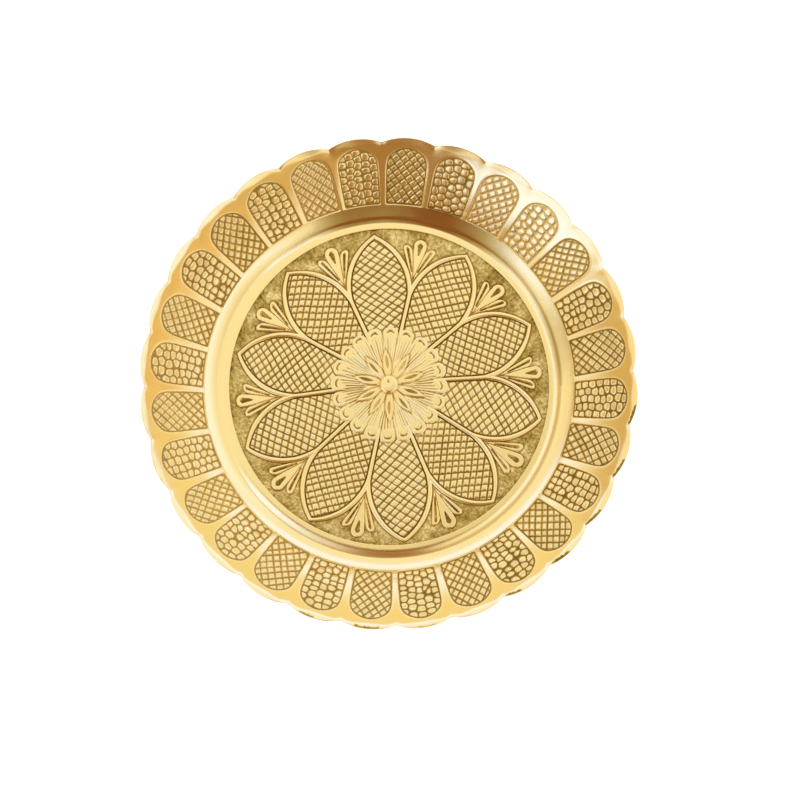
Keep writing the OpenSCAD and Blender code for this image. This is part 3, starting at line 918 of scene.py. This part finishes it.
class THALI_OT_foot(bpy.types.Operator):
    """Turns the foot ring and runs the brazed fillets on both sides of it"""

    bl_idname = "thali.foot"
    bl_label = "Foot Ring"

    def execute(self, context):
        bearing = np.linspace(0, 360, 480, endpoint=False)[:, None]
        wobble = np.radians(bearing)
        high = FLOOR_UNDER_Z - 0.01
        # Each side of the ring tapers to the ground and rounds under: how far in a point lies, and its height
        side = ((0, high), (0, 2.0), (0.14, 1.15), (0.28, 0.34), (0.36, 0.16), (0.48, 0.05), (0.64, 0.0))
        outer = [(FOOT_R - inward, height) for inward, height in side]
        inner = [(FOOT_IN_R + inward, height) for inward, height in side[::-1]]
        ring = np.array(outer + [(40.3, 0.0)] + inner)
        tone = np.array([0.4, 0.6, 0.7, 0.8, 0.92, 1, 1, 1, 1, 1, 0.9, 0.75, 0.6, 0.5, 0.35])
        points = around(ring[:, 0], ring[:, 1], bearing)
        piece = make_piece("foot", points, True, np.broadcast_to(tone, points.shape[:2]))
        fit_piece(piece, brass("foot_brass", 0.3, 0.25, (0.94, 0.93, 0.92)), "foot_brass", "foot_ring")
        filler = brass("braze_filler", 0.6, 0, (0.86, 0.86, 0.95))
        for name, edge, out in (("braze_outer", FOOT_R, 1), ("braze_inner", FOOT_IN_R, -1)):
            t = np.linspace(0, 90, 9)[None, :]
            # The filler ran unevenly, in long and short waves
            run = 0.62 + 0.12 * np.sin(5 * wobble + out) + 0.06 * np.sin(23 * wobble)
            run = run + 0.03 * np.sin(61 * wobble)
            leg = np.minimum(run, BRAZE_LEG)
            r = edge + out * leg * (1 - np.sin(np.radians(t)))
            z = high - leg * (1 - np.cos(np.radians(t)))
            sunk = edge - out * 0.1 + 0 * leg
            r = np.concatenate([r, sunk, sunk], 1)
            z = np.concatenate([z, high - leg, high + 0 * leg], 1)
            tone = 0.62 + 0.2 * grain(10 * wobble + 0 * r, r, 0.6, 81)
            piece = make_piece(name, around(r, z, bearing), True, tone)
            fit_piece(piece, filler, "braze_filler", "braze_fillets")
        return {"FINISHED"}


class THALI_OT_stage(bpy.types.Operator):
    """Lays the pale floor, lights it softly and places the camera nearly overhead"""

    bl_idname = "thali.stage"
    bl_label = "Stage"

    def execute(self, context):
        scene, stage = context.scene, context.scene.thali_stage
        scene.view_settings.view_transform = "Standard"
        mesh = bpy.data.meshes.new("floor")
        half = 3.0
        corners = [(-half, -half, 0), (half, -half, 0), (half, half, 0), (-half, half, 0)]
        mesh.from_pydata(corners, [], [(0, 1, 2, 3)])
        floor = bpy.data.objects.new("floor", mesh)
        scene.collection.objects.link(floor)
        paint = bpy.data.materials.new("floor_paint")
        paint.use_nodes = True
        nodes, links = paint.node_tree.nodes, paint.node_tree.links
        shader = nodes["Principled BSDF"]
        shader.inputs["Base Color"].default_value = (*stage.floor, 1)
        shader.inputs["Roughness"].default_value = 0.9
        shader.inputs["Specular IOR Level"].default_value = 0.1
        # A little glow lifts the floor to white where the camera or the brass looks at it
        glow = nodes.new("ShaderNodeEmission")
        ray = nodes.new("ShaderNodeLightPath")
        seen = nodes.new("ShaderNodeMath")
        seen.operation = "MAXIMUM"
        links.new(ray.outputs["Is Camera Ray"], seen.inputs[0])
        links.new(ray.outputs["Is Glossy Ray"], seen.inputs[1])
        level = nodes.new("ShaderNodeMath")
        level.operation = "MULTIPLY"
        links.new(seen.outputs[0], level.inputs[0])
        level.inputs[1].default_value = 0.52
        links.new(level.outputs[0], glow.inputs["Strength"])
        both = nodes.new("ShaderNodeAddShader")
        links.new(shader.outputs[0], both.inputs[0])
        links.new(glow.outputs[0], both.inputs[1])
        links.new(both.outputs[0], nodes["Material Output"].inputs["Surface"])
        mesh.materials.append(paint)

        self.shine(scene, stage)
        camera = bpy.data.objects.new("camera", bpy.data.cameras.new("camera"))
        scene.collection.objects.link(camera)
        scene.camera = camera
        camera.data.lens = stage.lens
        camera.data.clip_start, camera.data.clip_end = 0.01, 20
        lift = stage.elevation
        aim = np.array([0.00292, -0.00462, 0.008])
        camera.location = aim + stage.distance * np.array([0, -math.cos(lift), math.sin(lift)])
        camera.rotation_euler = (math.pi / 2 - lift, 0, 0)
        return {"FINISHED"}

    def shine(self, scene, stage):
        """The light all round, built up zone over zone: each zone eases in over the last between two pairs of
        heights and within some degrees of a bearing, and has a colour of its own."""
        world = bpy.data.worlds.new("studio")
        scene.world = world
        world.use_nodes = True
        nodes, links = world.node_tree.nodes, world.node_tree.links
        nodes.clear()
        place = nodes.new("ShaderNodeTexCoord")

        def value(kind, operation, *inputs):
            """One maths node on the inputs, which are sockets or plain numbers."""
            node = nodes.new(kind)
            node.operation = operation
            for socket, given in zip(node.inputs, inputs):
                if isinstance(given, bpy.types.NodeSocket):
                    links.new(given, socket)
                else:
                    socket.default_value = given
            return node.outputs["Value"]

        def eased(given, low, high, first, last):
            """first where the given value is below low, last above high, smooth between them."""
            node = nodes.new("ShaderNodeMapRange")
            node.interpolation_type = "SMOOTHSTEP"
            links.new(given, node.inputs["Value"])
            for socket, number in zip(("From Min", "From Max", "To Min", "To Max"), (low, high, first, last)):
                node.inputs[socket].default_value = number
            return node.outputs["Result"]

        def along(bearing, height):
            """How far the direction of a ray runs along a bearing and height."""
            b, h = math.radians(bearing), math.radians(height)
            way = (math.cos(b) * math.cos(h), math.sin(b) * math.cos(h), math.sin(h))
            return value("ShaderNodeVectorMath", "DOT_PRODUCT", place.outputs["Generated"], way)

        def over(base, share, colour):
            """A colour laid over the base by a share."""
            node = nodes.new("ShaderNodeMixRGB")
            links.new(share, node.inputs[0])
            if isinstance(base, bpy.types.NodeSocket):
                links.new(base, node.inputs[1])
            else:
                node.inputs[1].default_value = (*base, 1)
            node.inputs[2].default_value = (*colour, 1)
            return node.outputs[0]

        def times(first, second):
            """The product of two values."""
            return value("ShaderNodeMath", "MULTIPLY", first, second)

        up = along(0, 90)
        level = value("ShaderNodeMath", "SQRT", value("ShaderNodeMath", "SUBTRACT", 1.001, times(up, up)))

        def zone(bearing, near, far, low, high):
            """The share of a zone: full within near degrees of a bearing and between the heights, gone beyond
            far degrees."""
            side = value("ShaderNodeMath", "DIVIDE", along(bearing, 0), level)
            side = eased(side, math.cos(math.radians(far)), math.cos(math.radians(near)), 0, 1)
            rise = eased(up, *(math.sin(math.radians(h)) for h in low), 0, 1)
            fall = eased(up, *(math.sin(math.radians(h)) for h in high), 1, 0)
            return times(side, times(rise, fall))

        # Even light near the horizon, a warm ring above it and white from there up
        colour = over((0.97, 0.97, 1.02), eased(up, 0.31, 0.42, 0, 1), (0.70, 0.52, 0.27))
        colour = over(colour, eased(up, 0.68, 0.82, 0, 1), (1.03, 1.05, 1.07))
        # Each zone's bearing, how far to each side it is full and gone, the heights it comes in and goes out
        # between, all in degrees, and its colour
        for bearing, near, far, low, high, tint in (
            (8, 35, 62, (17, 22), (36, 44), (0.89, 0.65, 0.33)),
            (322, 30, 48, (5, 10), (24, 31), (1.02, 1.04, 1.15)),
            (80, 44, 72, (8, 14), (32, 40), (0.98, 0.885, 0.57)),
            (212, 10, 24, (16, 22), (40, 50), (0.95, 0.93, 0.93)),
            (10, 35, 60, (46, 51), (55, 60), (1.03, 1.12, 1.5)),
            (5, 35, 60, (56, 60), (66, 73), (1.05, 1.27, 2.1)),
            (82, 28, 68, (25, 31), (36, 42), (0.93, 0.86, 0.74)),
            (90, 45, 72, (35, 40), (44, 55), (1.08, 1.36, 2.7)),
            (180, 25, 45, (43, 48), (58, 68), (0.99, 0.96, 0.93)),
            (224, 18, 27, (20, 28), (40, 46), (1.12, 1.40, 2.8)),
            (215, 14, 24, (42, 48), (66, 74), (1.08, 1.36, 2.6)),
            (246, 17, 30, (2, 8), (20, 28), (0.50, 0.34, 0.17)),
            (60, 90, 125, (-9, -4), (10, 17), (1.06, 1.33, 2.45)),
        ):
            colour = over(colour, zone(bearing, near, far, low, high), tint)
        # A greyer round spot almost overhead
        colour = over(colour, eased(along(15, 85), 0.980, 0.999, 0, 1), (0.82, 0.80, 0.76))
        # The dark upright gap in the light on the camera's side, which the far wall and the hollow reflect.
        # It is widest low down and near the top, and darkest in two cores
        across, front = along(0, 0), along(270, 0)
        low_reach, high_reach = eased(up, 0.60, 0.75, 0.31, 0.17), eased(up, 0.935, 0.97, 0, 0.19)
        reach = value("ShaderNodeMath", "ADD", low_reach, high_reach)
        left = eased(value("ShaderNodeMath", "ADD", across, reach), -0.04, 0.04, 0, 1)
        right = value("ShaderNodeMath", "ADD", across, eased(up, 0.68, 0.80, 0, 0.10))
        gap = times(times(left, eased(right, 0.19, 0.29, 1, 0)), eased(front, 0.03, 0.12, 0, 1))
        colour = over(colour, gap, (0.40, 0.24, 0.105))
        for (from_low, full_low, full_high, to_high), tint in (
            ((0.62, 0.76, 0.88, 0.92), (0.36, 0.19, 0.08)),
            ((0.925, 0.955, 0.983, 0.997), (0.25, 0.085, 0.028)),
        ):
            core = times(eased(up, from_low, full_low, 0, 1), eased(up, full_high, to_high, 1, 0))
            colour = over(colour, times(gap, core), tint)
        # The camera sees plain white behind the plate; all else sees the zones
        ray = nodes.new("ShaderNodeLightPath")
        soft = nodes.new("ShaderNodeBackground")
        links.new(colour, soft.inputs["Color"])
        soft.inputs["Strength"].default_value = stage.sky
        white = nodes.new("ShaderNodeBackground")
        white.inputs["Color"].default_value = (1, 1, 1, 1)
        pick = nodes.new("ShaderNodeMixShader")
        links.new(ray.outputs["Is Camera Ray"], pick.inputs["Fac"])
        links.new(soft.outputs[0], pick.inputs[1])
        links.new(white.outputs[0], pick.inputs[2])
        out = nodes.new("ShaderNodeOutputWorld")
        links.new(pick.outputs[0], out.inputs["Surface"])


STEPS = (THALI_OT_petals, THALI_OT_rosette, THALI_OT_band, THALI_OT_panels, THALI_OT_stud, THALI_OT_foot,
         THALI_OT_stage)


class THALI_PT_sidebar(bpy.types.Panel):
    """Lists the steps that dress the plate"""

    bl_idname = "THALI_PT_sidebar"
    bl_label = "Puja Thali"
    bl_space_type = "VIEW_3D"
    bl_region_type = "UI"
    bl_category = "Thali"

    def draw(self, context):
        for step in STEPS:
            self.layout.operator(step.bl_idname)
        for group in (context.scene.thali_carving, context.scene.thali_brass, context.scene.thali_stage):
            box = self.layout.box()
            for name in group.__annotations__:
                box.prop(group, name)


CLASSES = (ThaliCarving, ThaliBrass, ThaliStage, *STEPS, THALI_PT_sidebar)


def register():
    for item in CLASSES:
        bpy.utils.register_class(item)
    bpy.types.Scene.thali_carving = PointerProperty(type=ThaliCarving)
    bpy.types.Scene.thali_brass = PointerProperty(type=ThaliBrass)
    bpy.types.Scene.thali_stage = PointerProperty(type=ThaliStage)


def unregister():
    for name in ("thali_carving", "thali_brass", "thali_stage"):
        delattr(bpy.types.Scene, name)
    for item in reversed(CLASSES):
        bpy.utils.unregister_class(item)


def main():
    register()
    for step in (bpy.ops.thali.petals, bpy.ops.thali.rosette, bpy.ops.thali.band, bpy.ops.thali.panels,
                 bpy.ops.thali.stud, bpy.ops.thali.foot, bpy.ops.thali.stage):
        step()
    bpy.context.view_layer.update()


if __name__ == "__main__":
    main()
